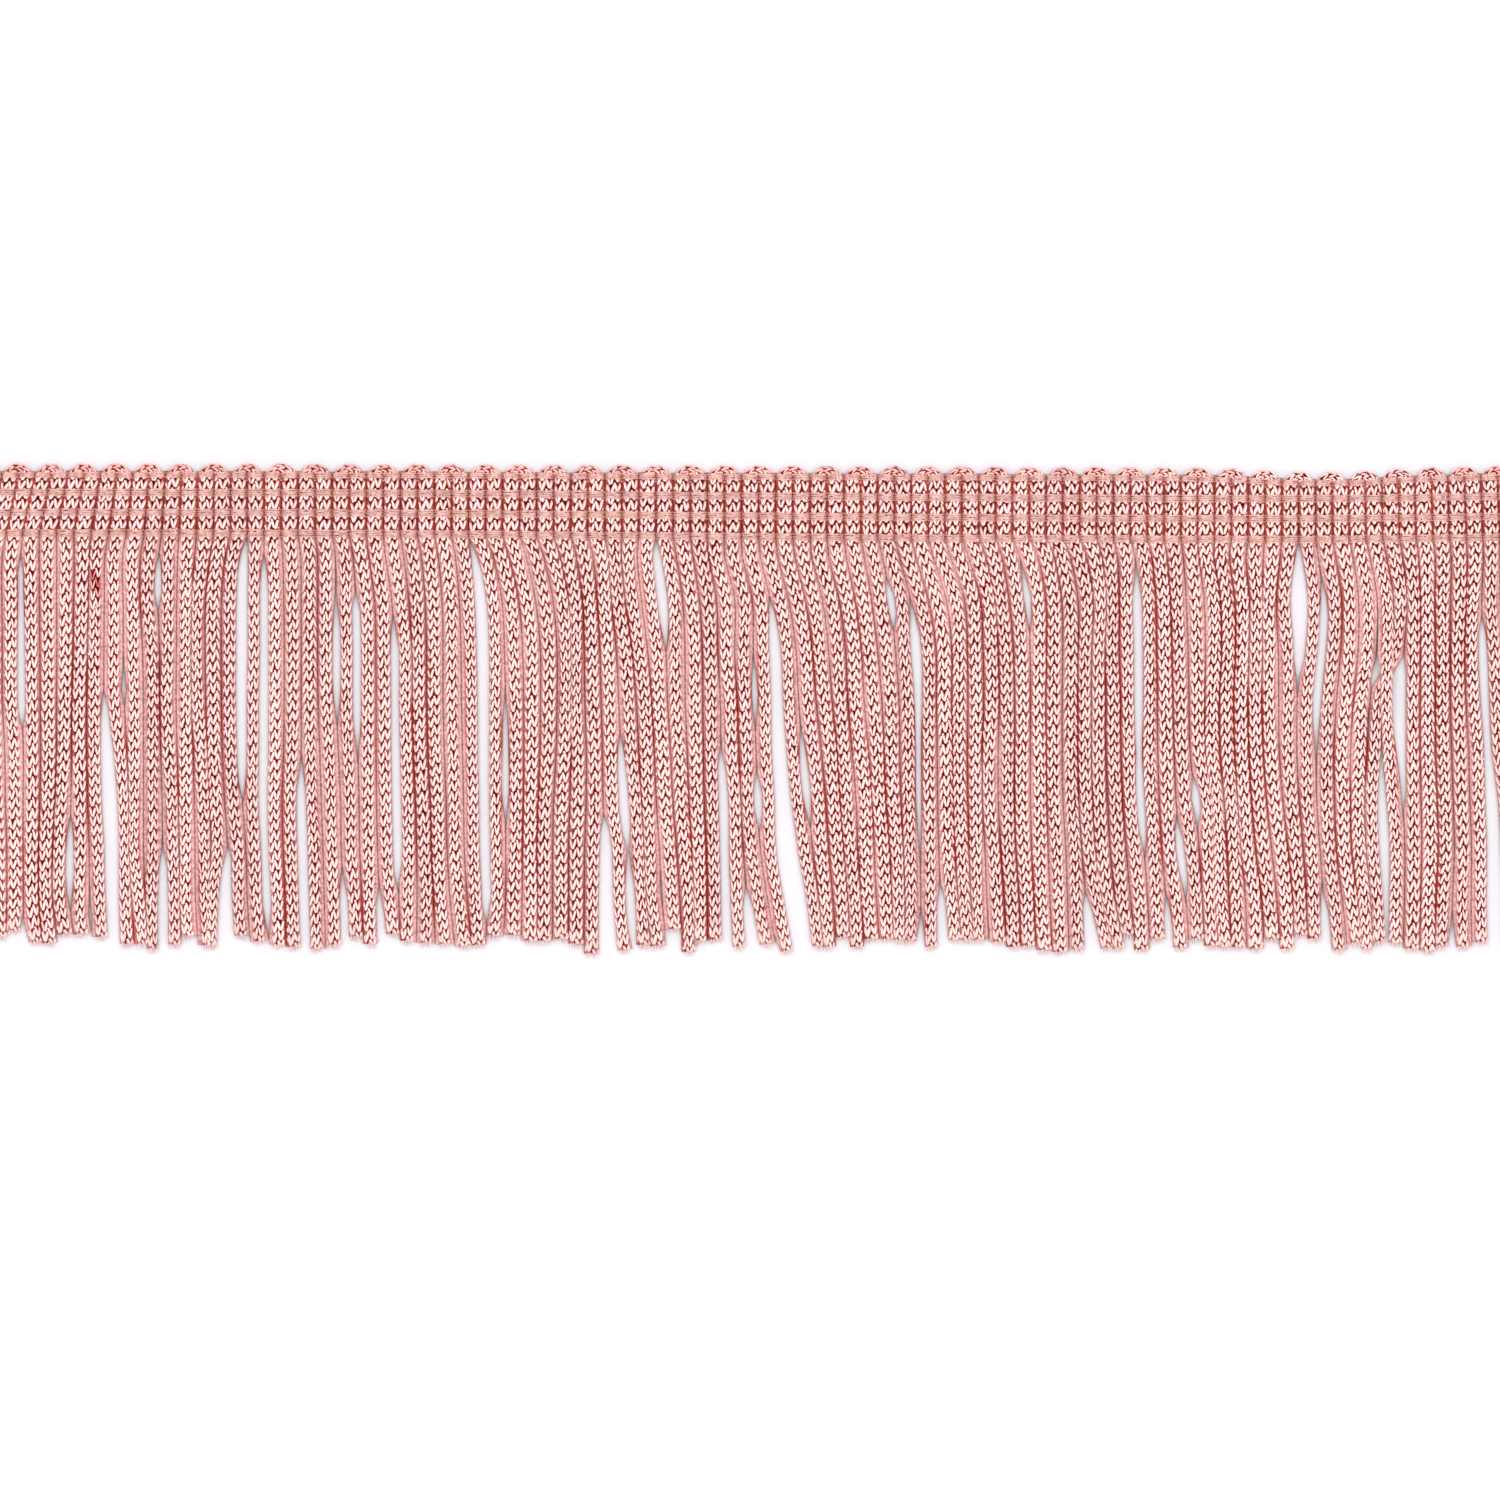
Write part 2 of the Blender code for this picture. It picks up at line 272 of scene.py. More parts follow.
cordSize = {
    "width": 12.3, "least": 10.6, "thickness": 1.36,        # grid steps, grid steps, millimetres
    "pillowWidth": 16.1, "pillowThickness": 1.62,           # between two binding rows
    "boundWidth": 14.9, "boundThickness": 1.02,             # under a binding row
    "course": 9.9, "courseSpread": (-0.02, 0.07),           # length of one round of stitches
    "nominalRadius": 6.6, "pitch": 17.2,
    "roundness": 2.3,                                       # of its section, where 2 is an ellipse
    "overTable": 0.04, "sampleStep": 5.0,                   # millimetres, grid steps
}

# What a string does with the gap to the next one, in grid steps.
beside = {
    "crossing": 9.5,                          # strings closer than this lie over each other
    "alone": 40.0,                            # stands for the gap where there is no string
    "press": 0.7,                             # how far two pressed strings sink into each other
    "share": 0.35, "shareFades": (16.6, 18.6),      # the part of the gap that a string spreads into
    "fuzzFades": (19.6, 20.9),                # its inner yarn fills gaps up to here
}


# How far the next string lies at y on one side (-1 or 1).
def apartAt(cord, y, side):
    x = cordX(cord, y)
    near = [other for other in range(cord + side, cord + 4 * side, side) if other in strings]
    gaps = [abs(cordX(other, y) - x) for other in near]
    return min([gap for gap in gaps if gap > beside["crossing"]], default=beside["alone"])


# The width of a cord at y, and how far its inner yarn reaches to the left and to the right: strings that
# lie close press against each other and fill the room between them.
def freeWidth(cord, y):
    width = least = cordSize["width"]
    apart = [apartAt(cord, y, side) for side in (-1, 1)]
    for gap in apart:
        least = min(least, gap + beside["press"])
        width += beside["share"] * max(0.0, gap - cordSize["width"]) * (1 - ramp(gap, *beside["shareFades"]))
    width = max(cordSize["least"], least if least < cordSize["width"] else width)
    reach = []
    for gap in apart:
        close = 1 - ramp(gap, *beside["fuzzFades"])
        reach.append(0.5 * width + max(0.0, gap / 2 - 0.5 * width) * close)
    return width, reach[0], reach[1]


# Where two strings cross, one rides up over the other.
crossing = {"over": 80, "under": 81, "rise": 1.05, "from": 13.5, "spread": 7.0}


def lift(cord, y):
    if cord != crossing["over"]:
        return 0.0
    apart = abs(cordX(crossing["over"], y) - cordX(crossing["under"], y))
    return crossing["rise"] * ramp(crossing["from"] - apart, 0.0, crossing["spread"])


# At one knitting fault the stitches are pulled in and drawn with extra painted shade, darker and redder.
fault = {"cord": 5, "y": 585.0, "reach": 8.5, "worn": 0.5, "pinch": 0.2}

# Above the uppermost row an odd cord turns over and comes back as the next even one,
# squeezed into a small loop.
loop = {
    "top": 463.0, "shoulder": 477.0, "width": 11.6, "shoulderWidth": 13.0, "thickness": 1.2, "course": 6.4,
    "bulge": 1.16,                            # it is that much wider than the two cords' middles
    "proud": 0.05, "yarnReach": 0.38,         # millimetres over the mid-plane, share of the width
    "samples": 8, "broadFrom": 3,             # on each side of the top
    "worn": 0.16, "extraShadeFades": (470, 482),    # its stitches get a little extra painted shade
    "loose": 0.6, "looseFades": (471, 480),
}

# The last stitches of a string have nothing to hold them, so they spread a little and lie open.
cutEnd = {
    "knitted": 1.5, "lastSample": 2,          # where the stitches and the samples stop short of the end
    "spread": 14, "wider": 0.16, "thicker": 0.04,
    "loose": 0.8, "looseFades": (13, 4),      # counted up from the end
    "frayStart": 2.5,
}


def boundAt(x, y):
    return max(exp(-((y - row - drop(x, row)) / heading["rowReach"]) ** 2) for row in heading["rows"])


# One sample of a cord at y: x, y, height, width, thickness, and the reach of its inner yarn to both sides.
def sampleAt(cord, y):
    size = cordSize
    x = cordX(cord, y)
    foot = heading["foot"] + drop(x, heading["foot"])
    inside = 1 - ramp(y, foot - heading["footAbove"], foot + heading["footBelow"])
    bound = boundAt(x, y)
    width, left, right = freeWidth(cord, y)
    if cord == fault["cord"]:
        width *= 1 - fault["pinch"] * exp(-((y - fault["y"]) / fault["reach"]) ** 2)
    headWidth = size["pillowWidth"] + (size["boundWidth"] - size["pillowWidth"]) * bound
    headThick = size["pillowThickness"] + (size["boundThickness"] - size["pillowThickness"]) * bound
    thick = size["thickness"] * sqrt(size["width"] / width)
    width += (headWidth - width) * inside
    left += (size["pitch"] / 2 - left) * inside
    right += (size["pitch"] / 2 - right) * inside
    thick += (headThick - thick) * inside
    height = thick / 2 + size["overTable"]
    height += (heading["middle"] - height) * inside
    return x, y, height + lift(cord, y), width, thick, left, right


# No two cords are twisted, drawn and knitted quite alike.
variety = {
    "turns": (45, 45, 45, 45, 45, 35, 55, 0), "turnSpread": 7,      # degrees
    "drift": 12, "driftFrom": 540, "driftLength": 110,      # degrees, and grid steps down the string
}

dice = random.Random(41)
cordFacts = {}
for cord in cordNumbers:
    cordFacts[cord] = {
        "twist": dice.choice(variety["turns"]) + dice.uniform(-variety["turnSpread"], variety["turnSpread"]),
        "drift": dice.uniform(-variety["drift"], variety["drift"]),
        "tone": dice.gauss(0, 1),
        "course": cordSize["course"] * (1 + dice.uniform(*cordSize["courseSpread"])),
        "phase": dice.uniform(0, 6.28),
    }
    dice.random()      # one draw unused, so that the next cord keeps its own


# Inside the heading a cord runs from the uppermost row to the lowest one.
def headingRun(cord):
    h = heading
    start = loop["shoulder"] + drop(headingX(cord, loop["shoulder"]), h["rows"][0]) - h["startAbove"]
    y = start - h["stagger"] * cordFacts[cord]["phase"]
    foot = h["rows"][3] + drop(headingX(cord, h["seam"]), h["seam"])
    run = []
    while y < foot:
        run.append(sampleAt(cord, y))
        y += h["sampleStep"]
    run.append(sampleAt(cord, foot))
    return run


def loopRun(cord):
    left, right = headingX(cord, loop["shoulder"]), headingX(cord + 1, loop["shoulder"])
    middle, reach = (left + right) / 2, (right - left) / 2 * loop["bulge"]
    fallen = drop(middle, heading["rows"][0])
    top = loop["top"] + loop["width"] / 2 + fallen
    low = loop["shoulder"] + fallen
    height = heading["middle"] + loop["proud"]
    yarn = loop["yarnReach"] * loop["width"]
    run = []
    for k in range(-loop["samples"], loop["samples"] + 1):
        a = k / loop["samples"] * pi / 2
        broad = ramp(abs(k), loop["broadFrom"], loop["samples"])
        width = loop["width"] + (loop["shoulderWidth"] - loop["width"]) * broad
        run.append((middle + reach * sin(a), top + (low - top) * (1 - cos(a)), height, width,
                    loop["thickness"], yarn, yarn))
    return run


def stringRun(cord):
    y = heading["rows"][3] + drop(cordX(cord, heading["seam"]), heading["seam"])
    end = strings[cord][9] - cutEnd["knitted"]
    run = []
    while y < end - cutEnd["lastSample"]:
        run.append(sampleAt(cord, y))
        y += cordSize["sampleStep"]
    run.append(sampleAt(cord, end))
    spread = []
    for x, y, height, width, thick, left, right in run:
        opened = ramp(y, end - cutEnd["spread"], end)
        width *= 1 + cutEnd["wider"] * opened
        thick *= 1 + cutEnd["thicker"] * opened
        spread.append((x, y, height, width, thick, left, right))
    return spread


# Paths as loose edges, with the sizes as attributes on their points, for the stitches to follow.
def pathObject(name, runs, layers):
    points, edges, values = [], [], {layer: [] for layer in layers}
    for run in runs:
        first = len(points)
        for k, sample in enumerate(run):
            points.append(sample["at"])
            for layer in layers:
                values[layer].append(sample[layer])
            if k:
                edges.append((first + k - 1, first + k))
    mesh = bpy.data.meshes.new(name)
    mesh.from_pydata(points, edges, [])
    for layer in layers:
        mesh.attributes.new(layer, "FLOAT", "POINT").data.foreach_set("value", values[layer])
    piece = bpy.data.objects.new(name, mesh)
    bpy.context.scene.collection.objects.link(piece)
    return piece


# How much painted shade is added to the stitches, darker and redder.
def extraShadeAt(cord, y):
    worn = loop["worn"] * (1 - ramp(y, *loop["extraShadeFades"]))
    if cord == fault["cord"]:
        worn += fault["worn"] * exp(-((y - fault["y"]) / fault["reach"]) ** 2)
    return worn


# How far the painted shade and painted highlight of the stitches are evened out, at a cut end and in the
# loops.
def looseAt(cord, y):
    end = strings[cord][9]
    high, low = cutEnd["looseFades"]
    atEnd = cutEnd["loose"] * ramp(y, end - high, end - low)
    return atEnd + loop["loose"] * (1 - ramp(y, *loop["looseFades"]))


def cordPath(cord, run, course):
    facts = cordFacts[cord]
    samples = []
    for x, y, height, width, thick, left, right in run:
        phase = facts["phase"] + (y - variety["driftFrom"]) / variety["driftLength"]
        turn = facts["twist"] + facts["drift"] * sin(phase)
        samples.append({
            "at": place(x, y, height), "width": width * grid / 2, "thick": thick * millimetre / 2,
            "twist": radians(turn), "tone": facts["tone"], "course": (course or facts["course"]) * grid,
            "worn": extraShadeAt(cord, y), "loose": looseAt(cord, y),
            "fill": (left + right) * grid / 2, "shift": (right - left) * grid / 2,
        })
    return samples


# A round of the chainette tube has four stitches and each stitch is a V of two legs.
# A leg is a plump drop of filament yarn: broad and proud at the point of the V,
# narrow and tucked in at its top, where it turns in under the stitch above.
leg = {
    "radius": 5.35,            # grid steps from the cord's middle to a leg's middle
    "spread": 40,              # degrees between the middles of the two legs of a V
    "under": 0.8, "underShade": 0.8,      # its underside: share of the half depth, and painted shade
    #                 angle  along   out    half width  half depth  painted shade of the inner and the outer flank
    "front": ((2.0, 0.62, -0.20, 0.0, 0.0, 0.7, 0.7),
              (6.0, 0.46, 0.35, 1.90, 1.10, 0.88, 0.6),
              (22.0, 0.05, 0.45, 2.40, 1.30, 0.72, 0.72),
              (40.0, -0.37, 0.15, 2.05, 1.10, 0.66, 0.88),
              (45.0, -0.52, -0.80, 0.0, 0.0, 0.88, 0.88)),
    "back": ((2.0, 0.60, -0.20, 0.0, 0.0, 0.4, 0.4),
             (10.0, 0.38, 0.40, 2.05, 1.15, 0.4, 0.35),
             (36.0, -0.28, 0.20, 2.35, 1.15, 0.35, 0.4),
             (45.0, -0.50, -0.80, 0.0, 0.0, 0.5, 0.5)),
}


def legMesh(name, stations, side):
    radius = leg["radius"]
    lines = [Vector((radians(s[0]) * radius * side, -s[1] * cordSize["course"], s[2])) for s in stations]
    points, shades, flat, faces = [], [], [], []
    # each point carries its painted shade: none on the crown, under the painted highlight, more on the
    # flanks, underside and ends
    for k, (angle, along, out, wide, deep, inner, outer) in enumerate(stations):
        ahead = lines[min(k + 1, len(lines) - 1)] - lines[max(k - 1, 0)]
        across = Vector((-ahead.y, ahead.x, 0)).normalized()      # square to the leg, on the cord's skin
        here = lines[k]
        if wide == 0:
            ring = [(here, inner, 0.0)]
        else:
            left, right = (inner, outer) if side > 0 else (outer, inner)
            ring = [(here + Vector((0, 0, deep)), 0.0, 0.0),
                    (here + across * wide, left, 0.25),
                    (here - Vector((0, 0, deep * leg["under"])), leg["underShade"], 0.0),
                    (here - across * wide, right, -0.25)]
        for point, shade, u in ring:
            # x is measured round the cord, y outwards from its middle, z down the string
            points.append((point.x * grid, (radius + point.z) * grid, -point.y * grid))
            shades.append(shade)
            flat.append((u, along * cordSize["course"] * gridStep))
    last = len(points) - 1
    rings = len(stations) - 2
    for k in range(4):
        faces.append((0, 1 + k, 1 + (k + 1) % 4))
        faces.append((last, last - 4 + (k + 1) % 4, last - 4 + k))
        for r in range(rings - 1):
            a, b = 1 + r * 4 + k, 1 + r * 4 + (k + 1) % 4
            faces.append((a, a + 4, b + 4, b))
    mesh = bpy.data.meshes.new(name)
    mesh.from_pydata(points, [], faces)
    mesh.attributes.new("shade", "FLOAT", "POINT").data.foreach_set("value", shades)
    uv = mesh.uv_layers.new(name="legUV")      # u runs across the leg and v along it, in millimetres
    for corner in mesh.loops:
        uv.data[corner.index].uv = flat[corner.vertex_index]
    return mesh


def turnOutward(mesh):
    work = bmesh.new()
    work.from_mesh(mesh)
    bmesh.ops.recalc_face_normals(work, faces=work.faces)
    work.to_mesh(mesh)
    work.free()


# The letters keep the legs in the order in which the tree below picks them.
legSet = bpy.data.collections.new("legs")
for name, stations, side in (("a_right_front", leg["front"], 1), ("b_left_front", leg["front"], -1),
                             ("c_right_back", leg["back"], 1), ("d_left_back", leg["back"], -1)):
    shape = legMesh(name, stations, side)
    turnOutward(shape)
    legSet.objects.link(bpy.data.objects.new(name, shape))


# Chainette: a tube knitted from satin viscose filament. The filaments lie side by side along each
# leg of a stitch, so its crown gives a long pale gleam: partly the shader's own gloss and partly a
# painted highlight, near white, in the colour. Where the legs turn in, the colour is painted shade,
# deep red.
chainetteLook = {
    # along the shade attribute: a painted highlight on the crowns, a painted sheen, the flanks near the
    # yarn's own pink, and painted shade at the borders and deepest where the legs turn in
    "paintedHighlight": "FFF3EC", "sheen": "F8D2C9", "flank": "E9A79E", "border": "A03033", "depth": "6A090C",
    "stops": {"sheen": 0.26, "flank": 0.47, "border": 0.6},      # shades at which these colours lie
    "deepest": 0.82,
    "close": "A64A42", "hollow": "CCA7A2",      # painted shade of the fuzz where two cords touch, and where they part
    "fuzzFrom": 0.9,                            # shades over this are fuzz
    "patches": 0.9, "patchShade": 0.22,         # uneven dye: patches a millimetre, and change of shade
    "fibres": 2.6, "fibreValue": 1.6,           # specks in the fuzz: a millimetre, and change of value
    "toneValue": 0.05,                          # cords and stitches differ by about this much
    "filament": 0.045,     # millimetres, drawn about four times as coarse as the real filament
    "ridge": 0.02, "ridgeStrength": 0.25,       # millimetres
    "roughness": 0.36, "ior": 1.54,
    "gleam": 0.85, "gleamLoss": 1.5,            # only the crowns gleam
}


def chainetteMaterial():
    look = chainetteLook
    material = bpy.data.materials.new("viscose filament chainette")
    material.use_nodes = True
    tree = material.node_tree
    tree.nodes.clear()
    shade = addNode(tree, "ShaderNodeAttribute", attribute_name="shade").outputs["Fac"]
    tone = addNode(tree, "ShaderNodeAttribute", attribute_name="tone").outputs["Fac"]
    where = addNode(tree, "ShaderNodeTexCoord").outputs["Object"]
    patch = addNode(tree, "ShaderNodeTexNoise", {
        "Vector": where, "Scale": look["patches"] / millimetre, "Detail": 2.0})
    dye = addNode(tree, "ShaderNodeMath", (patch, look["patchShade"], -look["patchShade"] / 2),
                  operation="MULTIPLY_ADD")
    depth = addNode(tree, "ShaderNodeMath", (shade, dye), operation="ADD", use_clamp=True)
    colours = addNode(tree, "ShaderNodeValToRGB", {"Fac": depth})
    band = colours.color_ramp
    band.elements[0].position, band.elements[0].color = 0.0, linear(look["paintedHighlight"])
    band.elements[1].position, band.elements[1].color = look["deepest"], linear(look["depth"])
    for name, position in look["stops"].items():
        band.elements.new(position).color = linear(look[name])
    # a shade over 1 is the fuzz beside a cord, in painted shade: dark and red at 1, pale at 2
    apart = addNode(tree, "ShaderNodeMath", (shade, 1.0), operation="SUBTRACT", use_clamp=True)
    fuzz = addNode(tree, "ShaderNodeMix", {0: apart, 6: linear(look["close"]), 7: linear(look["hollow"])},
                   data_type="RGBA")
    isFuzz = addNode(tree, "ShaderNodeMath", (shade, 10.0, -10 * look["fuzzFrom"]),
                     operation="MULTIPLY_ADD", use_clamp=True)
    fuzzed = addNode(tree, "ShaderNodeMix", {0: isFuzz, 6: colours, 7: fuzz.outputs[2]}, data_type="RGBA")
    value = addNode(tree, "ShaderNodeMath", (tone, look["toneValue"], 1.0), operation="MULTIPLY_ADD")
    fibres = addNode(tree, "ShaderNodeTexNoise", {
        "Vector": where, "Scale": look["fibres"] / millimetre, "Detail": 2.0})
    speck = addNode(tree, "ShaderNodeMath", (fibres, look["fibreValue"], -look["fibreValue"] / 2),
                    operation="MULTIPLY_ADD")
    uneven = addNode(tree, "ShaderNodeMath", (speck, isFuzz, value), operation="MULTIPLY_ADD")
    toned = addNode(tree, "ShaderNodeHueSaturation", {"Value": uneven, "Color": fuzzed.outputs[2]})
    uv = addNode(tree, "ShaderNodeUVMap", uv_map="legUV")
    across = addNode(tree, "ShaderNodeSeparateXYZ", (uv,))
    turns = addNode(tree, "ShaderNodeMath", (across, 2 * pi / look["filament"]), operation="MULTIPLY")
    ridge = addNode(tree, "ShaderNodeMath", (turns,), operation="SINE")
    bump = addNode(tree, "ShaderNodeBump", {
        "Height": ridge, "Strength": look["ridgeStrength"], "Distance": look["ridge"] * millimetre})
    gleam = addNode(tree, "ShaderNodeMath", (depth, -look["gleamLoss"], look["gleam"]),
                    operation="MULTIPLY_ADD", use_clamp=True)
    shader = addNode(tree, "ShaderNodeBsdfPrincipled", {
        "Base Color": toned, "Roughness": look["roughness"], "IOR": look["ior"],
        "Specular IOR Level": gleam, "Normal": bump})
    addNode(tree, "ShaderNodeOutputMaterial", {"Surface": shader})
    return material


# Binding thread: spun polyester sewing yarn. Short staple fibres make it matt and a little fuzzy,
# paler and more peach than the cords.
threadLook = {
    # light and dark are loose and tight places of the yarn; deep is painted shade where the thread dips into
    # a gap
    "light": "DBB6AA", "dark": "BE8C7F", "deep": "A5482C",
    "patches": 1.5,                             # loose and tight places of the yarn, a millimetre
    "darkEnd": 0.3, "lightStart": 0.6,
    "ply": 0.5, "ridge": 0.04, "ridgeStrength": 0.5,      # millimetres
    "roughness": 0.72, "ior": 1.5, "sheen": 0.25, "sheenRoughness": 0.5,
}


def threadMaterial():
    look = threadLook
    material = bpy.data.materials.new("spun polyester binding thread")
    material.use_nodes = True
    tree = material.node_tree
    tree.nodes.clear()
    where = addNode(tree, "ShaderNodeTexCoord").outputs["Object"]
    patch = addNode(tree, "ShaderNodeTexNoise", {
        "Vector": where, "Scale": look["patches"] / millimetre, "Detail": 3.0})
    colours = addNode(tree, "ShaderNodeValToRGB", {"Fac": patch})
    band = colours.color_ramp
    band.elements[0].position, band.elements[0].color = look["darkEnd"], linear(look["dark"])
    band.elements[1].position, band.elements[1].color = look["lightStart"], linear(look["light"])
    shade = addNode(tree, "ShaderNodeAttribute", attribute_name="shade").outputs["Fac"]
    # painted shade is mixed in along the shade attribute
    shaded = addNode(tree, "ShaderNodeMix", {0: shade, 6: colours, 7: linear(look["deep"])}, data_type="RGBA")
    uv = addNode(tree, "ShaderNodeUVMap", uv_map="plyUV")
    split = addNode(tree, "ShaderNodeSeparateXYZ", (uv,))
    wind = addNode(tree, "ShaderNodeMath", (split.outputs[1], 1.0 / look["ply"], split.outputs[0]),
                   operation="MULTIPLY_ADD")
    turns = addNode(tree, "ShaderNodeMath", (wind, 2 * pi), operation="MULTIPLY")
    ridge = addNode(tree, "ShaderNodeMath", (turns,), operation="SINE")
    bump = addNode(tree, "ShaderNodeBump", {
        "Height": ridge, "Strength": look["ridgeStrength"], "Distance": look["ridge"] * millimetre})
    shader = addNode(tree, "ShaderNodeBsdfPrincipled", {
        "Base Color": shaded.outputs[2], "Roughness": look["roughness"], "IOR": look["ior"],
        "Sheen Weight": look["sheen"], "Sheen Roughness": look["sheenRoughness"], "Normal": bump})
    addNode(tree, "ShaderNodeOutputMaterial", {"Surface": shader})
    return material


chainette = chainetteMaterial()
bindingThread = threadMaterial()
print("materials made")


def newTree(name, sockets):
    tree = bpy.data.node_groups.new(name, "GeometryNodeTree")
    tree.interface.new_socket("Geometry", in_out="INPUT", socket_type="NodeSocketGeometry")
    tree.interface.new_socket("Geometry", in_out="OUTPUT", socket_type="NodeSocketGeometry")
    for label, kind in sockets:
        tree.interface.new_socket(label, in_out="INPUT", socket_type=kind)
    return tree


# Drops the values that only served the making, then makes one smooth mesh with its material.
def endTree(tree, geometry, spent, material):
    for name in spent:
        geometry = addNode(tree, "GeometryNodeRemoveAttribute", {"Geometry": geometry, "Name": name})
    smooth = addNode(tree, "GeometryNodeSetShadeSmooth", {"Geometry": geometry})
    real = addNode(tree, "GeometryNodeRealizeInstances", {"Geometry": smooth})
    dressed = addNode(tree, "GeometryNodeSetMaterial", {"Geometry": real, "Material": material})
    addNode(tree, "NodeGroupOutput", {"Geometry": dressed})


def setInput(modifier, label, value):
    for item in modifier.node_group.interface.items_tree:
        if item.item_type == "SOCKET" and item.in_out == "INPUT" and item.name == label:
            modifier[item.identifier] = value


knitting = {
    "flatness": 0.92, "helix": 0.25,          # from round to flat, and how much of a round a wale climbs
    "unevenness": 0.14, "grain": 1.4,         # millimetres, and bumps a millimetre
    # how the legs differ, from least to most: radians, metres, a factor, metres, and tone
    "toss": {"angle": (-0.08, 0.08), "along": (-0.08 * millimetre, 0.08 * millimetre), "plump": (0.88, 1.1),
             "proud": (-0.03 * millimetre, 0.03 * millimetre), "tone": (-1.4, 1.4)},
    "farSide": -0.2,                          # cosine of the turn past which a leg counts as on the back
    "looseShade": 0.27, "deepest": 0.88,      # painted shade that loose stitches go to, and the darkest painted shade that a leg gets
}

innerYarn = {
    "sampleStep": 2.4, "sides": 10, "flatness": 0.3,      # millimetres, corners, share of its width
    "faceEdge": -0.22,                        # past this its section faces up and is drawn dark: painted shade between the legs
    "fuzz": 2.0, "alone": 1.8,                # painted shades: most that the sides have, and with no neighbour there
    "parted": 9.0, "touching": 7.3, "none": 6.95,      # room on a side, in grid steps
}

pathLayers = ("width", "thick", "twist", "tone", "course", "worn", "loose", "fill", "shift")
madeLayers = ("whole", "along", "owner", "pitch", "angle", "side", "plump", "proud", "shade", "across")


# Knits the tube: rounds of eight legs along every path, bent to follow it.
def knitTree():
    tree = newTree("knit chainette", [
        ("Legs", "NodeSocketCollection"), ("Seed", "NodeSocketInt"),
        ("Leg radius", "NodeSocketFloat"), ("Cord radius", "NodeSocketFloat"),
        ("Flatness", "NodeSocketFloat"), ("Unevenness", "NodeSocketFloat"), ("Helix", "NodeSocketFloat"),
        ("Core shade", "NodeSocketFloat"), ("Hollow shade", "NodeSocketFloat"),
        ("Material", "NodeSocketMaterial")])
    given = addNode(tree, "NodeGroupInput").outputs
    position = addNode(tree, "GeometryNodeInputPosition")
    spot = addNode(tree, "ShaderNodeSeparateXYZ", (position,)).outputs
    held = {name: addNode(tree, "GeometryNodeInputNamedAttribute", {"Name": name}, data_type="FLOAT")
            for name in pathLayers + madeLayers}

    # every path is cut into whole rounds, which know how far along they lie and on which path
    paths = addNode(tree, "GeometryNodeMeshToCurve", {"Mesh": given["Geometry"]})
    length = addNode(tree, "GeometryNodeSplineLength").outputs
    measured = addNode(tree, "GeometryNodeStoreNamedAttribute", {
        "Geometry": paths, "Name": "whole", "Value": length["Length"]}, data_type="FLOAT", domain="CURVE")
    rounds = addNode(tree, "GeometryNodeResampleCurve", {
        "Curve": measured, "Length": held["course"]}, mode="LENGTH")
    owner = addNode(tree, "GeometryNodeCurveOfPoint").outputs
    spans = addNode(tree, "ShaderNodeMath", (length["Point Count"], 1.0), operation="SUBTRACT")
    share = addNode(tree, "ShaderNodeMath", (owner["Index in Curve"], spans), operation="DIVIDE")
    along = addNode(tree, "ShaderNodeMath", (share, held["whole"]), operation="MULTIPLY")
    pitch = addNode(tree, "ShaderNodeMath", (held["whole"], spans), operation="DIVIDE")
    for name, value in (("along", along), ("owner", owner["Curve Index"]), ("pitch", pitch)):
        rounds = addNode(tree, "GeometryNodeStoreNamedAttribute", {
            "Geometry": rounds, "Name": name, "Value": value}, data_type="FLOAT", domain="POINT")
    dots = addNode(tree, "GeometryNodeCurveToPoints", {"Curve": rounds}, mode="EVALUATED")
    legs = addNode(tree, "GeometryNodeDuplicateElements", {"Geometry": dots, "Amount": 8}, domain="POINT")

    tossed = {}
    for number, (name, (least, most)) in enumerate(knitting["toss"].items()):
        seed = addNode(tree, "ShaderNodeMath", (given["Seed"], number + 1.0), operation="ADD")
        tossed[name] = addNode(tree, "FunctionNodeRandomValue", {2: least, 3: most, "Seed": seed},
                               data_type="FLOAT").outputs[1]

    # a round has four wales, a quarter turn apart, and each wale has a leg on both sides
    number = legs.outputs["Duplicate Index"]
    half = addNode(tree, "ShaderNodeMath", (number, 2.0), operation="DIVIDE")
    wale = addNode(tree, "ShaderNodeMath", (half,), operation="FLOOR")
    side = addNode(tree, "ShaderNodeMath", (number, 2.0), operation="MODULO")
    quarter = addNode(tree, "ShaderNodeMath", (wale, pi / 2, held["twist"]), operation="MULTIPLY_ADD")
    angle = addNode(tree, "ShaderNodeMath", (quarter, tossed["angle"]), operation="ADD")
    # stitches are knitted round and round, so each wale sits a little lower than the one before
    climbed = addNode(tree, "ShaderNodeMath", (wale, given["Helix"]), operation="MULTIPLY")
    climb = addNode(tree, "ShaderNodeMath", (climbed, held["pitch"]), operation="MULTIPLY")
    shaken = addNode(tree, "ShaderNodeMath", (held["along"], tossed["along"]), operation="ADD")
    lower = addNode(tree, "ShaderNodeMath", (shaken, climb), operation="SUBTRACT")
    tone = addNode(tree, "ShaderNodeMath", (held["tone"], tossed["tone"]), operation="ADD")
    for name, value in (("angle", angle), ("side", side), ("along", lower), ("plump", tossed["plump"]),
                        ("proud", tossed["proud"]), ("tone", tone)):
        legs = addNode(tree, "GeometryNodeStoreNamedAttribute", {
            "Geometry": legs, "Name": name, "Value": value}, data_type="FLOAT", domain="POINT")

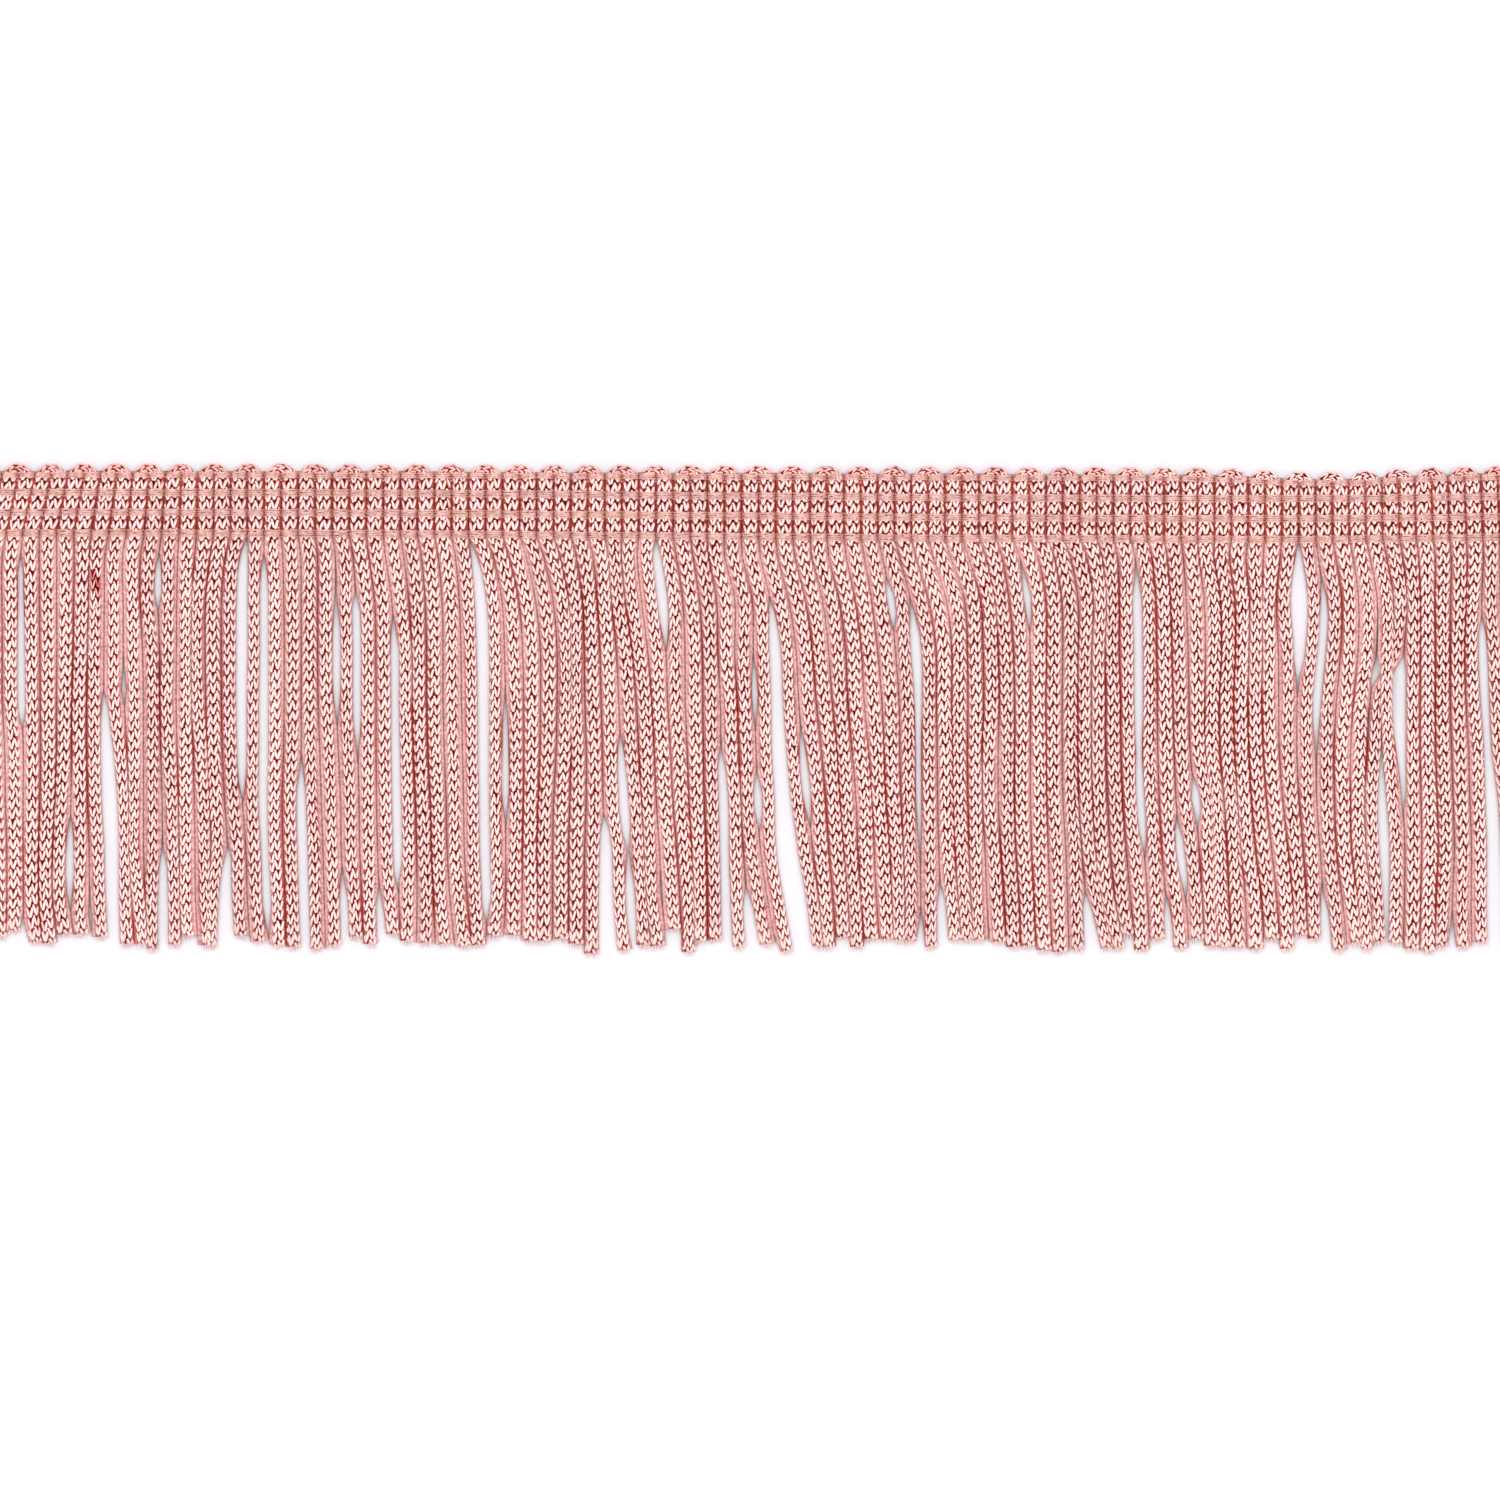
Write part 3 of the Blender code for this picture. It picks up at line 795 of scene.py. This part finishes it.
    # the legs on the back have the plainer shape
    offMiddle = addNode(tree, "ShaderNodeMath", (0.5, held["side"]), operation="SUBTRACT")
    legMiddle = addNode(tree, "ShaderNodeMath", (offMiddle, radians(leg["spread"]), held["angle"]),
                        operation="MULTIPLY_ADD")
    facing = addNode(tree, "ShaderNodeMath", (legMiddle,), operation="COSINE")
    behind = addNode(tree, "ShaderNodeMath", (facing, knitting["farSide"]), operation="LESS_THAN")
    pick = addNode(tree, "ShaderNodeMath", (behind, 2.0, held["side"]), operation="MULTIPLY_ADD")
    origin = addNode(tree, "ShaderNodeCombineXYZ")
    gathered = addNode(tree, "GeometryNodeSetPosition", {"Geometry": legs, "Position": origin})
    legShapes = addNode(tree, "GeometryNodeCollectionInfo",
                        {"Collection": given["Legs"], "Separate Children": True, "Reset Children": True})
    scale = addNode(tree, "ShaderNodeCombineXYZ", (held["plump"], 1.0, 1.0))
    placed = addNode(tree, "GeometryNodeInstanceOnPoints", {
        "Points": gathered, "Instance": legShapes, "Pick Instance": True, "Instance Index": pick,
        "Scale": scale})
    loose = addNode(tree, "GeometryNodeRealizeInstances", {"Geometry": placed})

    # in loose stitches light would reach the depths: their painted shade and painted highlight are
    # evened out, and the crowns no longer gleam
    missing = addNode(tree, "ShaderNodeMath", (knitting["looseShade"], held["shade"]), operation="SUBTRACT")
    levelled = addNode(tree, "ShaderNodeMath", (missing, held["loose"]), operation="MULTIPLY")
    # extra painted shade, darker and redder
    withExtraShade = addNode(tree, "ShaderNodeMath", (held["shade"], held["worn"]), operation="ADD")
    shaded = addNode(tree, "ShaderNodeMath", (withExtraShade, levelled), operation="ADD")
    capped = addNode(tree, "ShaderNodeMath", (shaded, knitting["deepest"]), operation="MINIMUM")
    loose = addNode(tree, "GeometryNodeStoreNamedAttribute", {
        "Geometry": loose, "Name": "shade", "Value": capped}, data_type="FLOAT", domain="POINT")

    # every point of a leg is carried to its place along and round the path
    stretch = addNode(tree, "ShaderNodeMath", (held["pitch"], cordSize["course"] * grid), operation="DIVIDE")
    reach = addNode(tree, "ShaderNodeMath", (spot[2], stretch, held["along"]), operation="MULTIPLY_ADD")
    swing = addNode(tree, "ShaderNodeMath", (spot[0], given["Leg radius"]), operation="DIVIDE")
    turn = addNode(tree, "ShaderNodeMath", (held["angle"], swing), operation="ADD")
    outward = addNode(tree, "ShaderNodeMath", (spot[1], held["proud"]), operation="ADD")
    onPath, scaleTo = {}, {}
    for name in ("width", "thick"):
        onPath[name] = addNode(tree, "GeometryNodeSampleCurve", {
            "Curves": measured, "Value": held[name], "Length": reach, "Curve Index": held["owner"]},
            mode="LENGTH", data_type="FLOAT").outputs
        scaleTo[name] = addNode(tree, "ShaderNodeMath", (onPath[name]["Value"], given["Cord radius"]),
                                operation="DIVIDE")
    ahead = onPath["width"]["Tangent"]
    level = addNode(tree, "ShaderNodeVectorMath", ((0.0, 0.0, 1.0), ahead), operation="CROSS_PRODUCT")
    across = addNode(tree, "ShaderNodeVectorMath", (level,), operation="NORMALIZE")
    upward = addNode(tree, "ShaderNodeVectorMath", (ahead, across), operation="CROSS_PRODUCT")

    # the tube is pressed flat: stitches spread evenly over its two faces, with full round edges
    sine = addNode(tree, "ShaderNodeMath", (turn,), operation="SINE")
    folded = addNode(tree, "ShaderNodeMath", (sine,), operation="ARCSINE")
    even = addNode(tree, "ShaderNodeMath", (folded, 2 / pi), operation="MULTIPLY")
    fullness = addNode(tree, "ShaderNodeMath", (1.0, given["Flatness"]), operation="SUBTRACT")
    rounded = addNode(tree, "ShaderNodeMath", (sine, fullness), operation="MULTIPLY")
    aside = addNode(tree, "ShaderNodeMath", (even, given["Flatness"], rounded), operation="MULTIPLY_ADD")
    unsigned = addNode(tree, "ShaderNodeMath", (aside,), operation="ABSOLUTE")
    power = addNode(tree, "ShaderNodeMath", (unsigned, cordSize["roundness"]), operation="POWER")
    rest = addNode(tree, "ShaderNodeMath", (1.0, power), operation="SUBTRACT")
    left = addNode(tree, "ShaderNodeMath", (rest, 0.0), operation="MAXIMUM")
    high = addNode(tree, "ShaderNodeMath", (left, 1 / cordSize["roundness"]), operation="POWER")
    cosine = addNode(tree, "ShaderNodeMath", (turn,), operation="COSINE")
    face = addNode(tree, "ShaderNodeMath", (cosine,), operation="SIGN")
    above = addNode(tree, "ShaderNodeMath", (high, face), operation="MULTIPLY")
    target = onPath["width"]["Position"]
    for direction, part, name in ((across, aside, "width"), (upward, above, "thick")):
        nominal = addNode(tree, "ShaderNodeMath", (part, outward), operation="MULTIPLY")
        amount = addNode(tree, "ShaderNodeMath", (nominal, scaleTo[name]), operation="MULTIPLY")
        offset = addNode(tree, "ShaderNodeVectorMath", {0: direction, "Scale": amount}, operation="SCALE")
        target = addNode(tree, "ShaderNodeVectorMath", (target, offset), operation="ADD")
    knitted = addNode(tree, "GeometryNodeSetPosition", {"Geometry": loose, "Position": target})
    grain = addNode(tree, "ShaderNodeTexNoise", {
        "Vector": position, "Scale": knitting["grain"] / millimetre, "Detail": 1.0}).outputs["Color"]
    centred = addNode(tree, "ShaderNodeVectorMath", (grain, (0.5, 0.5, 0.5)), operation="SUBTRACT")
    push = addNode(tree, "ShaderNodeVectorMath", {0: centred, "Scale": given["Unevenness"]},
                   operation="SCALE")
    knitted = addNode(tree, "GeometryNodeSetPosition", {"Geometry": knitted, "Offset": push})

    # yarn inside the tube: its upper face is the darkness between the legs, drawn dark as painted shade,
    # and its sides are the fuzz of fine fibres that fills the hollow between two cords, coloured with
    # the painted shade of that hollow
    inner = addNode(tree, "GeometryNodeResampleCurve", {
        "Curve": measured, "Length": innerYarn["sampleStep"] * millimetre}, mode="LENGTH")
    inner = addNode(tree, "GeometryNodeSetCurveNormal", {"Curve": inner}, mode="Z_UP")
    aslide = addNode(tree, "ShaderNodeCombineXYZ", (held["shift"],))
    inner = addNode(tree, "GeometryNodeSetPosition", {"Geometry": inner, "Offset": aslide})
    inner = addNode(tree, "GeometryNodeStoreNamedAttribute", {
        "Geometry": inner, "Name": "across", "Value": spot[0]}, data_type="FLOAT", domain="POINT")
    ring = addNode(tree, "GeometryNodeCurvePrimitiveCircle", {
        "Resolution": innerYarn["sides"], "Radius": 1.0})
    ring = addNode(tree, "GeometryNodeTransform", {
        "Geometry": ring, "Scale": (1.0, innerYarn["flatness"], 1.0)})
    isFace = addNode(tree, "ShaderNodeMath", (spot[1], innerYarn["faceEdge"]), operation="LESS_THAN")
    darker = addNode(tree, "ShaderNodeMath", (innerYarn["fuzz"], given["Core shade"]), operation="SUBTRACT")
    dark = addNode(tree, "ShaderNodeMath", (isFace, darker), operation="MULTIPLY")
    lit = addNode(tree, "ShaderNodeMath", (innerYarn["fuzz"], dark), operation="SUBTRACT")
    ring = addNode(tree, "GeometryNodeStoreNamedAttribute", {
        "Geometry": ring, "Name": "shade", "Value": lit}, data_type="FLOAT", domain="POINT")
    core = addNode(tree, "GeometryNodeCurveToMesh", {
        "Curve": inner, "Profile Curve": ring, "Fill Caps": True, "Scale": held["fill"]})
    # painted shade: the closer the next cord, the darker and redder the hollow on that side
    off = addNode(tree, "ShaderNodeMath", (spot[0], held["across"]), operation="SUBTRACT")
    towards = addNode(tree, "ShaderNodeMath", (off,), operation="SIGN")
    room = addNode(tree, "ShaderNodeMath", (held["shift"], towards, held["fill"]), operation="MULTIPLY_ADD")
    near = addNode(tree, "ShaderNodeMapRange", {
        0: room, 1: innerYarn["parted"] * grid, 2: innerYarn["touching"] * grid,
        3: given["Hollow shade"], 4: 1.0})
    isAlone = addNode(tree, "ShaderNodeMath", (room, innerYarn["none"] * grid), operation="LESS_THAN")
    alone = addNode(tree, "ShaderNodeMath", (isAlone, innerYarn["alone"]), operation="MULTIPLY")
    most = addNode(tree, "ShaderNodeMath", (near, alone), operation="MAXIMUM")
    hollow = addNode(tree, "ShaderNodeMath", (held["shade"], most), operation="MINIMUM")
    core = addNode(tree, "GeometryNodeStoreNamedAttribute", {
        "Geometry": core, "Name": "shade", "Value": hollow}, data_type="FLOAT", domain="POINT")

    both = addNode(tree, "GeometryNodeJoinGeometry")
    for part in (core, knitted):
        tree.links.new(part.outputs[0], both.inputs[0])
    endTree(tree, both, [name for name in held if name not in ("tone", "shade")], given["Material"])
    return tree


# Spins a round thread along every path, with its own radius at each point.
def threadTree():
    tree = newTree("lay thread", [
        ("Sides", "NodeSocketInt"), ("Unevenness", "NodeSocketFloat"), ("Material", "NodeSocketMaterial")])
    given = addNode(tree, "NodeGroupInput").outputs
    held = {name: addNode(tree, "GeometryNodeInputNamedAttribute", {"Name": name}, data_type="FLOAT")
            for name in ("radius", "run", "around")}
    spline = addNode(tree, "GeometryNodeSplineParameter").outputs
    paths = addNode(tree, "GeometryNodeMeshToCurve", {"Mesh": given["Geometry"]})
    paths = addNode(tree, "GeometryNodeStoreNamedAttribute", {
        "Geometry": paths, "Name": "run", "Value": spline["Length"]}, data_type="FLOAT", domain="POINT")
    ring = addNode(tree, "GeometryNodeCurvePrimitiveCircle", {"Resolution": given["Sides"], "Radius": 1.0})
    ring = addNode(tree, "GeometryNodeStoreNamedAttribute", {
        "Geometry": ring, "Name": "around", "Value": spline["Factor"]}, data_type="FLOAT", domain="POINT")
    tube = addNode(tree, "GeometryNodeCurveToMesh", {
        "Curve": paths, "Profile Curve": ring, "Fill Caps": True, "Scale": held["radius"]})
    long = addNode(tree, "ShaderNodeMath", (held["run"], 1 / millimetre), operation="MULTIPLY")
    flat = addNode(tree, "ShaderNodeCombineXYZ", (held["around"], long))
    tube = addNode(tree, "GeometryNodeStoreNamedAttribute", {
        "Geometry": tube, "Name": "plyUV", "Value": flat}, data_type="FLOAT2", domain="CORNER")
    position = addNode(tree, "GeometryNodeInputPosition")
    grain = addNode(tree, "ShaderNodeTexNoise", {
        "Vector": position, "Scale": binding["grain"] / millimetre, "Detail": 1.0}).outputs["Color"]
    centred = addNode(tree, "ShaderNodeVectorMath", (grain, (0.5, 0.5, 0.5)), operation="SUBTRACT")
    push = addNode(tree, "ShaderNodeVectorMath", {0: centred, "Scale": given["Unevenness"]},
                   operation="SCALE")
    tube = addNode(tree, "GeometryNodeSetPosition", {"Geometry": tube, "Offset": push})
    endTree(tree, tube, ("run", "around"), given["Material"])
    return tree


# Runs a tree on a path object and keeps the result as a plain mesh.
def finished(piece, tree, values):
    modifier = piece.modifiers.new("made", "NODES")
    modifier.node_group = tree
    for label, value in values.items():
        setInput(modifier, label, value)
    graph = bpy.context.evaluated_depsgraph_get()
    made = piece.evaluated_get(graph)
    mesh = bpy.data.meshes.new_from_object(made, preserve_all_data_layers=True, depsgraph=graph)
    mesh.name = piece.name
    piece.modifiers.clear()
    piece.data = mesh
    return piece


knit = knitTree()


def knitPiece(name, cords, runOf, seed, coreShade, hollowShade, course=0.0):
    piece = pathObject(name, [cordPath(cord, runOf(cord), course) for cord in cords], pathLayers)
    return finished(piece, knit, {
        "Legs": legSet, "Leg radius": leg["radius"] * grid, "Cord radius": cordSize["nominalRadius"] * grid,
        "Flatness": knitting["flatness"], "Unevenness": knitting["unevenness"] * millimetre,
        "Helix": knitting["helix"], "Seed": seed,
        "Core shade": coreShade, "Hollow shade": hollowShade, "Material": chainette})


# For each kind of piece: its seed, the painted shade of the yarn inside and of the hollow beside a cord.
inHeading = (100, 0.86, 1.05)
inLoops = (150, 0.6, 1.45)
inStrings = (200, 0.87, 2.0)

headingCords = knitPiece("heading_cords", cordNumbers, headingRun, *inHeading, heading["course"])
loopCords = range(heading["firstCord"], heading["lastCord"], 2)
loops = knitPiece("top_loops", loopCords, loopRun, *inLoops, loop["course"])
print("heading knitted,", len(headingCords.data.polygons) + len(loops.data.polygons), "faces")

pieceCords = 19      # strings in one piece, for its triangles
seed, coreShade, hollowShade = inStrings
stringPieces = []
for k, first in enumerate(range(0, len(cordNumbers), pieceCords)):
    cords = cordNumbers[first:first + pieceCords]
    piece = knitPiece(f"strings_{k + 1}", cords, stringRun, seed + k, coreShade, hollowShade)
    stringPieces.append(piece)
print("strings knitted,", sum(len(p.data.polygons) for p in stringPieces), "faces")

binding = {
    "stations": (0.0, 0.09, 0.28, 0.5, 0.72, 0.91),   # along one pitch, from gap to gap
    "backSteps": 4,                                   # on the back they are even
    "radius": 0.13,                                   # millimetres
    "outer": 2.75, "inner": 0.9,                      # grid steps from the row's middle
    "narrow": 0.7,                                    # the outer threads of the top row, as a share of that
    "inGap": 0.12, "deepInGap": -0.3,                 # height over the mid-plane, millimetres
    "knot": 1.2, "deepKnot": 0.8, "open": 0.25,       # radius and parting where two stitches link in a gap
    "pitch": 17, "reach": 0.53,                       # grid steps, and half of a cord as a share of its width
    "over": 0.54, "sunk": 0.7,                        # height on a cord, as shares of thickness and radius
    "aside": 0.4, "updown": 0.6, "swell": (0.88, 1.1),      # how uneven it is
    "sides": 5, "backSides": 4,
    "unevenness": 0.06, "grain": 1.8,                 # millimetres, and bumps a millimetre
    # painted shade in the gap and beside it: the thread is drawn darker where it dips
    "shades": (0.85, 0.6), "deepShades": (1.0, 0.45),
}

layThread = threadTree()


# One thread of a row. Deep threads go down into the gaps, the others link over them.
def rowRun(row, offset, front, deep):
    b = binding
    roundness = cordSize["roundness"]
    steps = len(b["stations"]) if front else b["backSteps"]
    toss = random.Random(int(row * 10) + int(offset * 7) + (3 if front else 5))
    samples = []
    for cord in cordNumbers:
        for k in range(steps):
            t = b["stations"][k] if front else k / steps
            x = headingX(cord - 0.5 + t, row)
            y = row + drop(x, row)
            aside = abs(t - 0.5) * b["pitch"] / (cordSize["boundWidth"] * b["reach"])
            # the thread follows the cord's skin
            onCord = max(0.0, 1 - aside ** roundness) ** (1 / roundness)
            spread = offset if deep else offset + (b["open"] if offset > 0 else -b["open"]) * (1 - onCord)
            skin = (cordSize["boundThickness"] * b["over"] + b["radius"] * b["sunk"]) * onCord
            height = max(b["deepInGap"] if deep else b["inGap"], skin)
            inGap, besideGap = b["deepShades"] if deep else b["shades"]
            radius, shade = b["radius"], 0.0
            if k == 0:
                radius *= b["deepKnot"] if deep else b["knot"]
                shade = inGap
            elif k in (1, steps - 1):
                shade = besideGap
            x += toss.uniform(-b["aside"], b["aside"])
            y += spread + toss.uniform(-b["updown"], b["updown"])
            radius *= millimetre * toss.uniform(*b["swell"])
            at = place(x, y, heading["middle"] + (height if front else -height))
            samples.append({"at": at, "radius": radius, "shade": shade})
    return samples


rowPieces = []
for n, row in enumerate(heading["rows"]):
    for face in ("front", "back"):
        front = face == "front"
        outer, inner = binding["outer"], (-binding["inner"], binding["inner"])
        if n == 0 and front:      # the uppermost row has one thread less and is narrower
            outer *= binding["narrow"]
        if n == 0 or not front:
            inner = (0.0,)
        runs = [rowRun(row, offset, front, False) for offset in (-outer, outer)]
        runs += [rowRun(row, offset, front, True) for offset in inner]
        piece = pathObject(f"binding_thread_{n + 1}_{face}", runs, ("radius", "shade"))
        finished(piece, layThread, {
            "Sides": binding["sides"] if front else binding["backSides"],
            "Unevenness": binding["unevenness"] * millimetre, "Material": bindingThread})
        rowPieces.append((piece, f"binding_row_{n + 1}_{face}"))
print("binding rows laid,", sum(len(p.data.polygons) for p, node in rowPieces), "faces")


fray = {
    "filaments": 14, "long": (3.0, 7.0), "radius": 0.075,      # count, grid steps, millimetres
    "from": (0.35, 0.8), "uneven": 0.3,         # shares of a cord's half width and of the step between two
    "bend": 1.0, "outward": 0.8, "curl": 1.2,   # grid steps, grid steps, a factor
    "rise": (-0.08, 0.05), "lowest": 0.08, "riseCurl": 2,      # millimetres, millimetres, a factor
    # shade: their place on the painted shade ramp, pale, near the painted highlight of the crowns
    "taper": 0.65, "shade": 0.15, "sides": 3, "unevenness": 0.03,
}


def frayRuns(cords):
    f = fray
    toss = random.Random(77)
    runs = []
    for cord in cords:
        x, y, height, width, thick, left, right = sampleAt(cord, strings[cord][9] - cutEnd["frayStart"])
        for k in range(f["filaments"]):
            angle = 2 * pi * (k + toss.uniform(-f["uneven"], f["uneven"])) / f["filaments"]
            out = toss.uniform(*f["from"])
            startX = x + sin(angle) * width / 2 * out
            startZ = height + cos(angle) * thick / 2 * out
            length = toss.uniform(*f["long"])
            bendX = toss.uniform(-f["bend"], f["bend"]) + sin(angle) * f["outward"]
            bendZ = toss.uniform(*f["rise"])
            run = []
            for t in (0.0, 0.5, 1.0):
                at = place(startX + bendX * t * t * f["curl"], y + length * t,
                           max(f["lowest"], startZ + bendZ * t * t * f["riseCurl"]))
                run.append({"at": at, "radius": f["radius"] * millimetre * (1 - f["taper"] * t),
                            "tone": toss.gauss(0, 1), "shade": f["shade"]})
            runs.append(run)
    return runs


cutEnds = pathObject("cut_ends", frayRuns(cordNumbers), ("radius", "tone", "shade"))
finished(cutEnds, layThread, {"Sides": fray["sides"], "Unevenness": fray["unevenness"] * millimetre,
                              "Material": chainette})
print("cut ends frayed,", len(cutEnds.data.polygons), "faces")

for piece in [headingCords, loops, cutEnds] + stringPieces:
    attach(piece, "root")
    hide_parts("chainette_comb")
for piece, node in rowPieces:
    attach(piece, "root")
    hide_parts(node)

# A sheet of matt pale paper under the trim, a bright room and two softboxes high above it. Lengths in metres.
studio = {
    "paper": "DCE1E3", "paperRoughness": 0.9, "paperShine": 0.1, "half": 3,
    "room": "FBEFF4", "roomStrength": 1.1,
    "softboxes": (("softbox_left", (-0.26, 0.14, 1.05), 3.2), ("softbox_right", (0.28, 0.04, 1.05), 3.0)),
    "softboxSize": 0.44,
}

half = studio["half"]
corners = [(-half, -half, 0), (half, -half, 0), (half, half, 0), (-half, half, 0)]
tableMesh = bpy.data.meshes.new("table")
tableMesh.from_pydata(corners, [], [(0, 1, 2, 3)])
table = bpy.data.objects.new("table", tableMesh)
bpy.context.scene.collection.objects.link(table)
paper = bpy.data.materials.new("matt pale paper")
paper.use_nodes = True
sheet = paper.node_tree.nodes["Principled BSDF"]
sheet.inputs["Base Color"].default_value = linear(studio["paper"])
sheet.inputs["Roughness"].default_value = studio["paperRoughness"]
sheet.inputs["Specular IOR Level"].default_value = studio["paperShine"]
tableMesh.materials.append(paper)

world = bpy.data.worlds.new("studio")
world.use_nodes = True
world.node_tree.nodes["Background"].inputs["Color"].default_value = linear(studio["room"])
world.node_tree.nodes["Background"].inputs["Strength"].default_value = studio["roomStrength"]
bpy.context.scene.world = world

for name, at, watts in studio["softboxes"]:
    light = bpy.data.lights.new(name, "AREA")
    light.shape = "DISK"
    light.size = studio["softboxSize"]
    light.energy = watts
    box = bpy.data.objects.new(name, light)
    box.location = at
    box.rotation_euler = (-Vector(at)).to_track_quat("-Z", "Y").to_euler()      # towards the trim
    bpy.context.scene.collection.objects.link(box)

# The camera looks straight down, with its middle a little off the trim's.
view = {"at": (-0.000125, -0.005, 1.2), "sensor": 36.0, "lens": 230.4, "nearest": 0.01, "farthest": 20}

lens = bpy.data.cameras.new("camera")
lens.sensor_width = view["sensor"]
lens.lens = view["lens"]
lens.clip_start, lens.clip_end = view["nearest"], view["farthest"]
camera = bpy.data.objects.new("camera", lens)
camera.location = view["at"]
bpy.context.scene.collection.objects.link(camera)
bpy.context.scene.camera = camera
bpy.context.scene.view_settings.view_transform = "Standard"

# the single legs have done their work
for shape in list(legSet.objects):
    bpy.data.objects.remove(shape)
bpy.data.collections.remove(legSet)
print("table, lights and camera placed")
